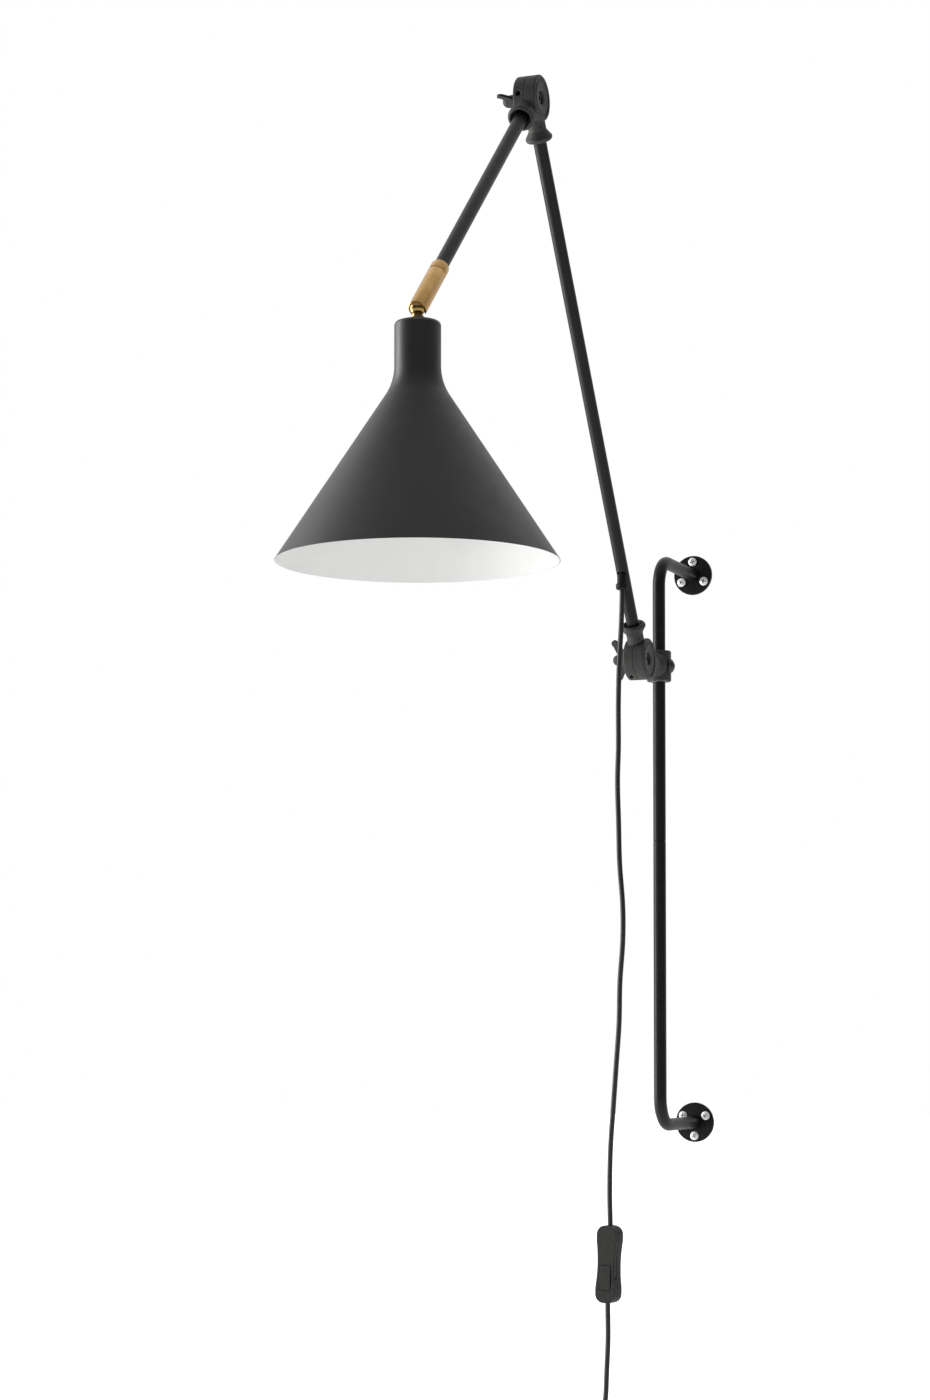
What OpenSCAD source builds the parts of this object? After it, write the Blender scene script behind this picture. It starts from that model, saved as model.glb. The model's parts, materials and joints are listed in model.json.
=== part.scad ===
// Swing arm wall sconce: a wall rail on two flanges, a collar that slides and turns on the rail,
// two arms on friction knuckles with wing nuts, a brass swivel and a spun metal shade.
// Frame: wall plane at Y = 0, lamp towards -Y, +X right, +Z up, millimetres.
// Origin: centre of the upper flange's back face.

/* [Wall rail] */
// Height between the two flange centres
flange_spacing = 572; // [400:1:800]
// Wall plane to rail axis
standoff = 116; // [90:1:150]
// Outer diameter of the rail tube
rail_d = 12.7; // [10:0.1:16]
// Wall of the rail tube
rail_wall = 1.2; // [0.8:0.1:2]
// Bend radius of the rail at its tube axis
bend_r = 28; // [22:1:40]
// Flange diameter
flange_d = 41; // [36:1:60]
// Flange thickness
flange_t = 3; // [2.5:0.1:5]
// Pitch circle of the flange screws
screw_pcd = 28; // [26:1:34]
// Flange screws on the circle
screw_count = 3; // [3:1:4]
// Shank diameter of a wall screw
screw_d = 4; // [3:0.5:5]
// Head diameter of a wall screw
screw_head_d = 9; // [7:0.5:10]
// Length of a wall screw behind the flange
screw_reach = 12; // [10:1:60]

/* [Collar] */
// Height of the collar's centre below the upper flange
collar_drop = 109; // [70:1:300]
// Collar diameter
collar_d = 24.4; // [22:0.1:32]
// Collar height
collar_h = 31; // [24:1:45]
// Wall of the nylon liner
liner_wall = 1; // [0.8:0.1:1.5]
// Head diameter of the clamp screw
clamp_head_d = 15; // [10:0.5:20]
// Rail axis to the base pivot
pivot_reach = 62; // [58:1:80]

/* [Knuckles] */
// Knuckle diameter
knuckle_d = 41; // [38:0.5:50]
// Thickness of one knuckle half
half_t = 10.6; // [9:0.1:13]
// Pivot bolt diameter
bolt_d = 6; // [5:0.5:7]
// Neck diameter behind the knuckle
neck_d = 16.6; // [16:0.1:19]
// Bead diameter at the mouth of a socket
bead_d = 24.8; // [23:0.1:28]
// Pivot to the mouth of an arm socket
socket_reach = 39.5; // [38:0.5:56]
// Wing nut span across the tips
wing_span = 42; // [32:1:50]

/* [Arms] */
// Lower arm, pivot to pivot
lower_len = 562; // [400:1:700]
// Lower arm above the horizontal
lower_rise = 57.5; // [40:0.5:75]
// Upper arm, pivot to swivel ball
upper_len = 365; // [260:1:460]
// Upper arm below the horizontal
upper_fall = 43.6; // [30:0.1:50]
// Outer diameter of the arm tubes
arm_d = 12.2; // [10:0.1:13]
// Wall of the arm tubes
arm_wall = 1.1; // [0.8:0.1:1.6]
// Distance of the cord outlet above the base pivot, along the lower arm
outlet_at = 98.3; // [80:0.1:200]

/* [Swivel] */
// Outer diameter of the brass swivel
swivel_d = 15.7; // [15:0.1:19]
// Length of the brass swivel
swivel_len = 68; // [60:1:90]
// Length of its fixed upper ring
ring_len = 11.5; // [9:0.5:16]
// Swivel ball diameter
ball_d = 13; // [12:0.1:13.2]
// Stem diameter below the ball
stem_d = 8.8; // [7:0.1:9]
// Swivel ball centre to the top of the shade
shade_drop = 9.6; // [9.2:0.1:14]

/* [Shade] */
// Rim diameter
rim_d = 233.6; // [180:1:300]
// Neck diameter
shade_neck_d = 38.5; // [36:0.5:50]
// Height of the straight neck
shade_neck_h = 37.8; // [30:1:60]
// Half angle of the cone
cone_angle = 33.5; // [25:0.5:45]
// Radius of the flare between neck and cone
flare_r = 45; // [30:1:60]
// Metal thickness
shade_t = 1; // [0.8:0.1:1.5]
// Bulb diameter
bulb_d = 60; // [45:1:62]
// Bulb length in front of the lamp holder
bulb_len = 80; // [60:1:82]

/* [Cord] */
// Cord diameter
cord_d = 5; // [4.5:0.1:5.4]
// Length of the inline switch
switch_len = 75; // [65:1:80]
// Width of the inline switch
switch_w = 22; // [20:0.5:24]
// Depth of the inline switch
switch_depth = 14; // [13:0.5:18]
// Mean diameter of the wound cord
coil_d = 55; // [50:1:60]

/* [Hidden] */
$fn = 64;
run = 0.03;
slack = 0.1;
pair_gap = 0.2;

rail_r = rail_d / 2;
rail_bore = rail_r - rail_wall;
arm_r = arm_d / 2;
liner_r = rail_r + run + liner_wall;
collar_r = collar_d / 2;
knuckle_r = knuckle_d / 2;
bolt_r = bolt_d / 2;
bead_r = 3;
cord_r = cord_d / 2;

// Places of the joints
collar_z = -collar_drop;
base_y = -standoff - pivot_reach;
elbow_y = base_y - lower_len * cos(lower_rise);
elbow_z = collar_z + lower_len * sin(lower_rise);
ball_y = elbow_y - upper_len * cos(upper_fall);
ball_z = elbow_z - upper_len * sin(upper_fall);

// Collar and base knuckle
stud_r = 4;
stud_out = 22;
clamp_r = 3;
base_socket = pivot_reach - 10;

// Fasteners
recess_d = 12;
recess_depth = 6.8;
bolt_head_d = 10;
bolt_head_h = 3.8;
hex_af = 5;
washer_d = 14;
washer_t = 1.2;
wing_len = 12;
wing_reach = 14.5;
bolt_end = half_t + pair_gap / 2 + washer_t + slack + wing_len - 1;
tube_seat = knuckle_r + 1.5;
grub_d = 4;
grub_at = tube_seat + 3;
grub_turn = 45;
mouth_depth = 8;
bell_len = 4.2;
friction_d = 26;
friction_t = 1;

// Directions of the stop pin holes in the rims of the knuckles
base_hole = 122;
elbow_hole = 43.6;
base_nut_turn = -25;
elbow_nut_turn = 90;

// Swivel, along the arm with the ball centre at 0
swivel_r = swivel_d / 2;
ball_r = ball_d / 2;
mouth = 1.5;
ring_top = mouth - swivel_len;
ring_end = ring_top + ring_len;
ring_gap = 0.4;
spindle_r = 5;
spindle_end = ring_end + 24;
cavity_top = ring_end + 19;
slot_half = stem_d / 2 + 1.2;
slot_back = 2.6;
tube_end = ring_end - 4;
seat_back = -11;
flex_r = 2.4;
flex_clear = knuckle_r + 2;

// Shade, below the ball centre
rim_r = rim_d / 2;
shade_neck_r = shade_neck_d / 2;
shoulder_r = 4;
crown = 1;
flare_h = flare_r * sin(cone_angle);
cone_r = shade_neck_r + flare_r * (1 - cos(cone_angle));
cone_h = (rim_r - cone_r) / tan(cone_angle);
shade_h = shade_neck_h + flare_h + cone_h;
stem_end = 6.4;
nipple_r = 4;
plate_t = 0.8;
holder_r = 15.5;
holder_top = shade_drop + 20;
holder_end = holder_top + 58;
insert_r = 13.2;
bulb_top = holder_end - 4;

// Cord route from the outlet down to the plug
outlet_y = base_y - outlet_at * cos(lower_rise);
outlet_top = collar_z + outlet_at * sin(lower_rise);
outlet_r = 6;
outlet_z = outlet_top - arm_r / cos(lower_rise) - 9.5;
outlet_ring = 6.5;
switch_x = -14.7;
switch_z = -703;
switch_lean = 2;
switch_turn = -11;
cord_y = -231;
switch_wall = 1.6;
front_depth = 5;
seam = 0.4;
rocker_z = -13;
rocker_w = 12;
rocker_len = 24;
rocker_gap = 0.3;
rocker_y = -switch_depth / 2 + 2.6;
// Two screws in opposite corners of the switch, beside the cord
switch_screw_x = 5.5;
switch_screw_z = switch_len / 2 - 7;
coil_x = -18;
coil_z = -905;
coil_half = 7.6;
coil_band = 5.1;
plug_top = -946;
plug_x = coil_x - coil_d / 2;
plug_w = 35.3;
plug_t = 13.7;
plug_len = 42;
plug_neck = 24;
pin_len = 19;
pin_pitch = 18.6;
pin_r = 1.99;

drop_route = [
    [0, -230.8, -46.5], [0, -231, -60], [-1, -231, -85], [-3, -231, -120], [-4, -231, -160],
    [-4, -231, -200], [-5, -231, -235], [-4, -231, -275], [-3, -231, -315], [0, -231, -355],
    [0, -231, -390], [-3, -231, -430], [-4, -231, -470], [-7, -231, -510], [-10, -231, -550],
    [-13, -231, -590], [-14, -231, -630], [-13.5, -231, -662], [-13.4, -231, -668]
];
tail_route = [
    [-16, -231, -738], [-16.2, -231, -746], [-16, -231, -775], [-17, -232, -805], [-18, -233, -832],
    [-20, -235, -850], [-27, -236, -866], [-36, -236, -877], [-42, -236, -888]
];
lead_route = [[-45.5, -226, -921], [-45.5, -226, -930], [-45.5, -226, -938], [-45.5, -226, plug_top]];

// Sweeps
function unit(v) = v / norm(v);
function spline(a, b, c, d, t) =
    0.5 * (2 * b + (c - a) * t + (2 * a - 5 * b + 4 * c - d) * t * t + (3 * b - a - 3 * c + d) * t * t * t);
function smooth(p, steps) = concat(
    [for (i = [0 : len(p) - 2]) for (k = [0 : steps - 1])
        spline(p[max(i - 1, 0)], p[i], p[i + 1], p[min(i + 2, len(p) - 1)], k / steps)],
    [p[len(p) - 1]]
);
function way(p, i) = unit(p[min(i + 1, len(p) - 1)] - p[max(i - 1, 0)]);
function ring_points(p, i, r, sides, side_axis) =
    let (t = way(p, i), u = unit(cross(side_axis, t)), w = cross(t, u))
    [for (k = [0 : sides - 1]) p[i] + r * (cos(360 * k / sides) * u + sin(360 * k / sides) * w)];

module sweep(p, r, sides, side_axis) {
    points = [for (i = [0 : len(p) - 1]) each ring_points(p, i, r, sides, side_axis)];
    last = len(p) - 1;
    faces = concat(
        [[for (k = [sides - 1 : -1 : 0]) k]],
        [for (i = [0 : last - 1]) for (k = [0 : sides - 1])
            let (a = i * sides, b = a + sides, n = (k + 1) % sides) [a + k, a + n, b + n, b + k]],
        [[for (k = [0 : sides - 1]) last * sides + k]]
    );
    polyhedron(points = points, faces = faces, convexity = 8);
}

// Frames that the pieces are drawn in
module at_collar() translate([0, -standoff, collar_z]) children();
module at_base() translate([0, base_y, collar_z]) children();
module along_lower() at_base() rotate([90 - lower_rise, 0, 0]) children();
module at_elbow() translate([0, elbow_y, elbow_z]) children();
module at_elbow_lower() at_elbow() rotate([-90 - lower_rise, 0, 0]) children();
module along_upper() at_elbow() rotate([90 + upper_fall, 0, 0]) children();
module at_swivel() along_upper() translate([0, 0, upper_len]) children();
module below_ball() translate([0, ball_y, ball_z]) rotate([180, 0, 0]) children();
module at_switch() translate([switch_x, cord_y, switch_z]) rotate([0, switch_lean, switch_turn]) children();

// Bodies of revolution and simple rods
module tube(r, bore, z0, z1) {
    difference() {
        translate([0, 0, z0]) cylinder(r = r, h = z1 - z0);
        translate([0, 0, z0 - 1]) cylinder(r = bore, h = z1 - z0 + 2);
    }
}
module rod(r, z0, z1) translate([0, 0, z0]) cylinder(r = r, h = z1 - z0);
module hexagon(af, z0, z1) translate([0, 0, z0]) cylinder(r = af / sqrt(3), h = z1 - z0, $fn = 6);
module side_x(side) rotate([0, side * 90, 0]) children();
module cone(r0, r1, z0, z1) translate([0, 0, z0]) cylinder(r1 = r0, r2 = r1, h = z1 - z0);

// ---- Wall rail ----
module screw_places(turn) {
    for (k = [0 : screw_count - 1])
        rotate([0, turn + k * 360 / screw_count, 0])
            translate([0, 0, screw_pcd / 2]) rotate([90, 0, 0]) children();
}
module flange(turn) {
    rim = 0.6;
    color([0.09, 0.09, 0.09]) difference() {
        rotate([90, 0, 0]) union() {
            rod(flange_d / 2, 0, flange_t - rim);
            cone(flange_d / 2, flange_d / 2 - rim, flange_t - rim, flange_t);
        }
        rotate([90, 0, 0]) rod(rail_r + run, flange_t - 1, flange_t + 1);
        screw_places(turn) rod(screw_d / 2 + slack, -1, flange_t + 1);
    }
}
module wall_screw() {
    head_h = 2.6;
    bar = 0.9;
    point = 4;
    difference() {
        union() {
            rod(screw_d / 2, point - screw_reach, 0);
            cone(0.3, screw_d / 2, -screw_reach, point - screw_reach);
            rod(screw_d / 2 - 0.2, 0, flange_t);
            rod(screw_head_d / 2, flange_t, flange_t + 0.8);
            cone(screw_head_d / 2, screw_head_d / 2 - 1.6, flange_t + 0.8, flange_t + head_h);
        }
        for (turn = [0, 90])
            rotate([0, 0, turn]) translate([-bar / 2, -2.2, flange_t + 1]) cube([bar, 4.4, head_h]);
    }
}
// Half rail: leg, bend and upright, from the flange to the middle
module rail_half() {
    half = flange_spacing / 2;
    seam_cut = 0.5;
    color([0.1, 0.1, 0.1]) difference() {
        union() {
            translate([0, -flange_t + 1, 0]) rotate([90, 0, 0])
                tube(rail_r, rail_bore, 0, standoff - bend_r - flange_t + 1);
            translate([0, -standoff + bend_r, -bend_r]) rotate([90, 0, 90]) rotate([0, 0, 90])
                rotate_extrude(angle = 90) translate([bend_r, 0]) difference() {
                    circle(r = rail_r);
                    circle(r = rail_bore);
                }
            translate([0, -standoff, 0]) tube(rail_r, rail_bore, -half, -bend_r);
        }
        translate([0, -standoff, -half]) difference() {
            rod(rail_r + 1, -1, seam_cut);
            cone(rail_r - seam_cut, rail_r, 0, seam_cut);
            rod(rail_r - seam_cut, -2, 0.01);
        }
    }
}
module mid_mirror() translate([0, 0, -flange_spacing]) mirror([0, 0, 1]) children();

module upper_wall_flange() flange(0);
module lower_wall_flange() translate([0, 0, -flange_spacing]) flange(180);
module upper_rail_tube() rail_half();
module lower_rail_tube() mid_mirror() rail_half();
module rail_joiner() {
    half_len = 32;
    color("silver") translate([0, -standoff, -flange_spacing / 2])
        tube(rail_bore - run, rail_bore - 1.6, -half_len, half_len);
}
module upper_wall_screws() color("silver") screw_places(0) wall_screw();
module lower_wall_screws() color("silver") translate([0, 0, -flange_spacing]) screw_places(180) wall_screw();

// ---- Collar ----
module rail_liner() {
    color([0.85, 0.85, 0.8]) at_collar() difference() {
        tube(liner_r, rail_r + run, -collar_h / 2, collar_h / 2);
        translate([-liner_r - 1, -0.75, -collar_h]) cube([liner_r, 1.5, 2 * collar_h]);
    }
}
module rail_collar() {
    edge = 0.8;
    color([0.1, 0.1, 0.1]) at_collar() difference() {
        union() {
            rod(collar_r, -collar_h / 2 + edge, collar_h / 2 - edge);
            for (end = [0, 1])
                mirror([0, 0, end]) cone(collar_r, collar_r - edge, collar_h / 2 - edge, collar_h / 2);
        }
        rod(liner_r + run, -collar_h, collar_h);
        rotate([90, 0, 0]) rod(stud_r, 0, collar_r + 1);
        side_x(1) rod(clamp_r, 0, collar_r + 1);
    }
}
module collar_stud() {
    color("silver") at_collar() rotate([90, 0, 0])
        rod(stud_r - 0.01, liner_r + run + 0.3, collar_r + stud_out);
}
module clamp_screw() {
    dome = 4;
    dome_r = (pow(clamp_head_d / 2, 2) + dome * dome) / (2 * dome);
    color([0.12, 0.12, 0.12]) at_collar() side_x(1) difference() {
        union() {
            rod(clamp_r - 0.01, liner_r + run + slack, collar_r + 1);
            intersection() {
                rod(clamp_head_d / 2, collar_r + slack, collar_r + dome + 1);
                translate([0, 0, collar_r + slack + dome - dome_r]) sphere(r = dome_r);
            }
        }
        hexagon(4, collar_r + 2, collar_r + dome + 2);
    }
}

// ---- Knuckles ----
// One half on the +X side, its arm socket towards +Z; a dished face takes the bolt head, a flat one the nut
module disc_half(dished) {
    edge = 1;
    step = 1.4;
    dish = 1.6;
    r = knuckle_r;
    ring = [
        [0, 0], [r, 0], [r, half_t - edge], [r - edge, half_t], [r - 2.8, half_t], [r - 3.4, half_t - step],
        [r - 5.4, half_t - step], [r - 6.2, half_t - 0.3]
    ];
    hollow = [[recess_d / 2 + 1.4, half_t - 0.9], [recess_d / 2, half_t - dish], [0, half_t - dish]];
    flat = [[washer_d / 2 + 1, half_t], [0, half_t]];
    profile = concat(ring, dished ? hollow : flat);
    translate([pair_gap / 2, 0, 0]) rotate([0, 90, 0]) rotate_extrude() polygon(profile);
}
module socket_shape(reach) {
    bead_z = reach - bead_r - 0.6;
    bead_at = bead_d / 2 - bead_r;
    neck_r = neck_d / 2;
    shoulder = bead_r * sin(45);
    rotate_extrude() union() {
        polygon([
            [0, 10], [neck_r, 10], [neck_r, bead_z - bead_r - bell_len],
            [bead_at + shoulder, bead_z - shoulder], [bead_at, reach], [0, reach]
        ]);
        translate([bead_at, bead_z]) circle(r = bead_r);
    }
}
module knuckle_half(reach, dished) {
    difference() {
        union() {
            disc_half(dished);
            difference() {
                socket_shape(reach);
                translate([-knuckle_r * 2 + pair_gap / 2, 0, 0]) rotate([0, 90, 0])
                    rod(knuckle_r + 0.9, 0, knuckle_r * 2);
                rotate([0, 90, 0]) rod(recess_d / 2 + 3, pair_gap, half_t * 2);
            }
        }
        rotate([0, 90, 0]) rod(bolt_r + run, -half_t, half_t * 2);
        rotate([0, 90, 0]) rod(friction_d / 2 + slack, -1, friction_t / 2 + 0.02);
    }
}
module bolt_recess() rotate([0, 90, 0]) rod(recess_d / 2, half_t + pair_gap / 2 - recess_depth, half_t * 2);
// Tube seat, flared mouth, cable way and grub screw hole of an arm socket
module arm_seat(reach, turn) {
    rod(arm_r + run, tube_seat, reach + 1);
    cone(arm_r + 0.4, bead_d / 2 - bead_r + 0.4, reach - mouth_depth, reach + 0.01);
    rod(flex_r + 0.6, 14, tube_seat + 1);
    translate([0, 0, grub_at]) rotate([0, 0, turn]) side_x(1) rod(grub_d / 2, 0, bead_d);
}
module rim_hole(angle) {
    depth = 9;
    translate([half_t / 2, 0, 0]) rotate([angle, 0, 0]) rod(2.4, knuckle_r - depth, knuckle_r + 1);
}
module grub_screw(turn) {
    translate([0, 0, grub_at]) rotate([0, 0, turn]) side_x(1) difference() {
        rod(grub_d / 2 - 0.01, arm_r + 0.02, neck_d / 2 - 0.2);
        hexagon(2, neck_d / 2 - 1.4, neck_d / 2);
    }
}
module pivot_bolt() {
    head_top = half_t + pair_gap / 2 - recess_depth + bolt_head_h;
    difference() {
        union() {
            rod(bolt_r, -bolt_end, head_top - 1);
            rod(bolt_head_d / 2, head_top - bolt_head_h, head_top);
        }
        hexagon(hex_af, head_top - 2.4, head_top + 1);
    }
}
module friction_washer() tube(friction_d / 2, bolt_r + run, -friction_t / 2, friction_t / 2);
module nut_washer() {
    top = half_t + pair_gap / 2;
    tube(washer_d / 2, bolt_r + run, top, top + washer_t);
}
// Wing nut: hub, dome and two flared wings, hub axis along +Z
module wing_nut() {
    hub_r = 6.5;
    wing_t = 2.6;
    start = half_t + pair_gap / 2 + washer_t + slack;
    tip = wing_span / 2;
    difference() {
        union() {
            cone(hub_r, hub_r - 1, start, start + wing_len - 2);
            translate([0, 0, start + wing_len - 2]) intersection() {
                sphere(r = hub_r - 1);
                rod(hub_r, 0, hub_r);
            }
            for (side = [0, 180])
                rotate([0, 0, side]) translate([0, wing_t / 2, 0]) rotate([90, 0, 0])
                    linear_extrude(wing_t) wing_outline(start, tip);
        }
        rod(bolt_r + run, 0, start + wing_len - 1);
    }
}
module wing_outline(start, tip) {
    ear_r = 3.4;
    ear = [tip - ear_r, start + wing_reach - ear_r];
    difference() {
        union() {
            polygon([
                [3.6, start + 1], [7, start + 1.2], ear + ear_r * [0.6, -0.75], ear,
                ear + ear_r * [-0.8, 0.55], [3.6, start + 9]
            ]);
            translate(ear) circle(r = ear_r);
        }
        translate([-8 + bolt_r, 0]) square([8, 60]);
    }
}

// ---- Base knuckle, fixed to the collar ----
module base_knuckle() {
    color([0.11, 0.11, 0.11]) difference() {
        at_base() rotate([-90, 0, 0]) difference() {
            knuckle_half(base_socket, true);
            bolt_recess();
        }
        at_collar() rod(collar_r + 0.02, -collar_h, collar_h);
        at_collar() rotate([90, 0, 0]) rod(stud_r, 0, collar_r + stud_out + 1);
    }
}
module base_pivot_bolt() color([0.2, 0.2, 0.2]) at_base() side_x(1) pivot_bolt();
module base_friction_washer() color([0.75, 0.72, 0.65]) at_base() side_x(1) friction_washer();
module base_nut_washer() color([0.2, 0.2, 0.2]) at_base() side_x(-1) nut_washer();
module base_wing_nut() {
    color([0.1, 0.1, 0.1]) at_base() side_x(-1) rotate([0, 0, base_nut_turn]) wing_nut();
}

// ---- Lower arm ----
module lower_arm_socket() {
    color([0.11, 0.11, 0.11]) along_lower() mirror([1, 0, 0]) difference() {
        knuckle_half(socket_reach, false);
        arm_seat(socket_reach, 180 + grub_turn);
        rim_hole(base_hole);
    }
}
module lower_arm_tube() {
    color([0.1, 0.1, 0.1]) difference() {
        along_lower() tube(arm_r, arm_r - arm_wall, tube_seat, lower_len - tube_seat);
        translate([0, outlet_y, outlet_z - 5]) rod(outlet_r - 1.2, 0, outlet_top - outlet_z + 5);
    }
}
module lower_grub_screws() {
    color("silver") {
        along_lower() grub_screw(-grub_turn);
        at_elbow_lower() grub_screw(grub_turn);
    }
}
module cord_grommet() {
    lip = 1.2;
    color([0.07, 0.07, 0.07]) difference() {
        translate([0, outlet_y, 0]) union() {
            rod(outlet_r - 1.25, outlet_z + 4, outlet_top - 6);
            rod(outlet_r, outlet_z + lip, outlet_z + outlet_ring - lip);
            cone(outlet_r - lip, outlet_r, outlet_z, outlet_z + lip);
            cone(outlet_r, outlet_r - lip, outlet_z + outlet_ring - lip, outlet_z + outlet_ring);
        }
        difference() {
            along_lower() rod(arm_r + run, 0, lower_len / 2);
            translate([0, outlet_y, outlet_z - 5]) rod(outlet_r - 1.22, 0, outlet_top - outlet_z + 5);
        }
        along_lower() rod(arm_r - arm_wall - 0.2, 0, lower_len / 2);
        translate([0, outlet_y, 0]) rod(cord_r, outlet_z - 1, outlet_top);
    }
}
module lower_arm_flex() {
    color([0.06, 0.06, 0.06]) {
        along_lower() rod(flex_r, outlet_at, lower_len - flex_clear);
        translate([0, outlet_y, outlet_top]) sphere(r = flex_r + 0.3);
        translate([0, outlet_y, 0]) rod(flex_r, outlet_z + 3, outlet_top);
    }
}
module lower_elbow_half() {
    color([0.11, 0.11, 0.11]) at_elbow_lower() difference() {
        knuckle_half(socket_reach, true);
        arm_seat(socket_reach, grub_turn);
        bolt_recess();
    }
}
module elbow_pivot_bolt() color([0.2, 0.2, 0.2]) at_elbow() side_x(1) pivot_bolt();
module elbow_friction_washer() color([0.75, 0.72, 0.65]) at_elbow() side_x(1) friction_washer();
module elbow_nut_washer() color([0.2, 0.2, 0.2]) at_elbow() side_x(-1) nut_washer();
module elbow_wing_nut() {
    color([0.1, 0.1, 0.1]) at_elbow() side_x(-1) rotate([0, 0, elbow_nut_turn]) wing_nut();
}

// ---- Upper arm ----
module upper_elbow_half() {
    color([0.11, 0.11, 0.11]) along_upper() mirror([1, 0, 0]) difference() {
        knuckle_half(socket_reach, false);
        arm_seat(socket_reach, 180 - grub_turn);
        rim_hole(-elbow_hole);
    }
}
module upper_arm_tube() {
    color([0.1, 0.1, 0.1]) along_upper() tube(arm_r, arm_r - arm_wall, tube_seat, upper_len + tube_end);
}
module upper_grub_screw() color("silver") along_upper() grub_screw(grub_turn);
module upper_arm_flex() {
    color([0.06, 0.06, 0.06]) along_upper() rod(flex_r, flex_clear, upper_len + spindle_end + 3);
}

// ---- Brass swivel ----
module swivel_ring() {
    edge = 0.8;
    color([0.78, 0.65, 0.42]) at_swivel() difference() {
        union() {
            cone(swivel_r - edge, swivel_r, ring_top, ring_top + edge);
            rod(swivel_r, ring_top + edge, ring_end - 0.3);
            cone(swivel_r, swivel_r - 0.3, ring_end - 0.3, ring_end);
            rod(spindle_r, ring_end - 1, spindle_end);
        }
        rod(arm_r + run, ring_top - 1, tube_end);
        rod(flex_r + 0.5, tube_end - 1, spindle_end + 1);
        difference() {
            rod(spindle_r + 1, spindle_end - 3, spindle_end - 1.9);
            rod(spindle_r - 0.7, spindle_end - 4, spindle_end - 1);
        }
    }
}
module swivel_circlip() {
    groove = spindle_end - 2.95;
    color("silver") at_swivel() tube(ball_r - 0.5, spindle_r - 0.68, groove, groove + 1);
}
module swivel_cup() {
    edge = 0.3;
    start = ring_end + ring_gap;
    lip_r = sqrt(ball_r * ball_r - mouth * mouth);
    color([0.78, 0.65, 0.42]) at_swivel() difference() {
        union() {
            cone(swivel_r - edge, swivel_r, start, start + edge);
            rod(swivel_r, start + edge, mouth - 0.6);
            cone(swivel_r, swivel_r - 0.6, mouth - 0.6, mouth);
        }
        rod(spindle_r + run, start - 1, cavity_top + 1);
        rod(ball_r + 0.05, cavity_top, 0);
        sphere(r = ball_r + 0.05);
        rod(lip_r, 0, mouth + 1);
        translate([-slot_half, -swivel_d, -slot_back]) cube([2 * slot_half, swivel_d, mouth + slot_back + 1]);
        translate([0, 0, -slot_back]) rotate([90, 0, 0]) rod(slot_half, 0, swivel_d);
    }
}
module ball_seat() {
    color([0.85, 0.85, 0.8]) at_swivel() difference() {
        rod(ball_r, seat_back, -4.6);
        sphere(r = ball_r + 0.02);
        rod(flex_r + 0.6, seat_back - 1, 0);
    }
}
module seat_spring() {
    wire_r = 0.5;
    turns = 5;
    steps = 16;
    start = spindle_end - 1.9 + wire_r;
    rise = seat_back - start - wire_r - 0.05;
    coil_r = ball_r - 0.7;
    helix = [for (k = [0 : turns * steps])
        [coil_r * cos(360 * k / steps), coil_r * sin(360 * k / steps), start + rise * k / (turns * steps)]];
    color("silver") at_swivel() sweep(helix, wire_r, 8, [0, 0, 1]);
}
module swivel_ball() {
    color([0.82, 0.7, 0.48]) below_ball() difference() {
        union() {
            sphere(r = ball_r);
            rod(stem_d / 2, 0, stem_end);
        }
        rod(3, -ball_r - 1, stem_end + 1);
    }
}

// ---- Shade and lamp holder, drawn downwards from the ball centre ----
function arc(cx, cz, r, a0, a1, n) =
    [for (k = [0 : n]) let (a = a0 + (a1 - a0) * k / n) [cx + r * cos(a), cz + r * sin(a)]];
// Outline from the crown to the rim, inset by d
function shade_line(d) = concat(
    [[0, shade_drop + d], [nipple_r * 2, shade_drop + d]],
    arc(shade_neck_r - shoulder_r, shade_drop + crown + shoulder_r, shoulder_r - d, -80, 0, 6),
    arc(shade_neck_r + flare_r, shade_drop + shade_neck_h, flare_r + d, 180, 180 - cone_angle, 10),
    [[rim_r - d / cos(cone_angle), shade_drop + shade_h]]
);
module shade() {
    color([0.1, 0.1, 0.1]) below_ball() difference() {
        rotate_extrude($fn = 160) polygon(concat(shade_line(0), [[0, shade_drop + shade_h]]));
        rotate_extrude($fn = 160) polygon(concat(shade_line(shade_t), [[0, shade_drop + shade_h + 1]]));
        rod(nipple_r + run, 0, shade_drop + 5);
    }
}
module shade_nipple() {
    color("silver") below_ball() difference() {
        union() {
            rod(2.9, 1.5, stem_end + 1);
            rod(nipple_r, stem_end + 0.05, holder_top + 8);
        }
        rod(2, 0, holder_top + 10);
    }
}
module stem_washer() {
    top = stem_end + 0.2;
    color([0.78, 0.65, 0.42]) below_ball() tube(5.4, nipple_r + run, top, top + plate_t);
}
module top_nut() {
    top = stem_end + 0.2 + plate_t;
    color([0.1, 0.1, 0.1]) below_ball() difference() {
        cone(6, 8, top, shade_drop);
        rod(nipple_r + run, 0, shade_drop + 1);
    }
}
module inner_nut() {
    top = shade_drop + shade_t;
    color("silver") below_ball() difference() {
        hexagon(13, top, top + 5);
        rod(nipple_r + run, 0, top + 6);
    }
}
module holder_cap() {
    wall = 2;
    color([0.12, 0.12, 0.12]) below_ball() difference() {
        union() {
            cone(9, holder_r, holder_top, holder_top + 6);
            rod(holder_r, holder_top + 6, holder_top + 26);
        }
        rod(nipple_r + run, 0, holder_top + 20);
        rod(holder_r - wall, holder_top + 9, holder_top + 30);
    }
}
module holder_skirt() {
    lip = 1.5;
    color([0.12, 0.12, 0.12]) below_ball() {
        tube(holder_r, insert_r + 1, holder_top + 26, holder_end);
        tube(holder_r + lip, holder_r - 0.5, holder_end - 8, holder_end - 4);
    }
}
module holder_insert() color([0.9, 0.9, 0.87]) below_ball() rod(insert_r, holder_top + 18, holder_top + 27);
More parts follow.
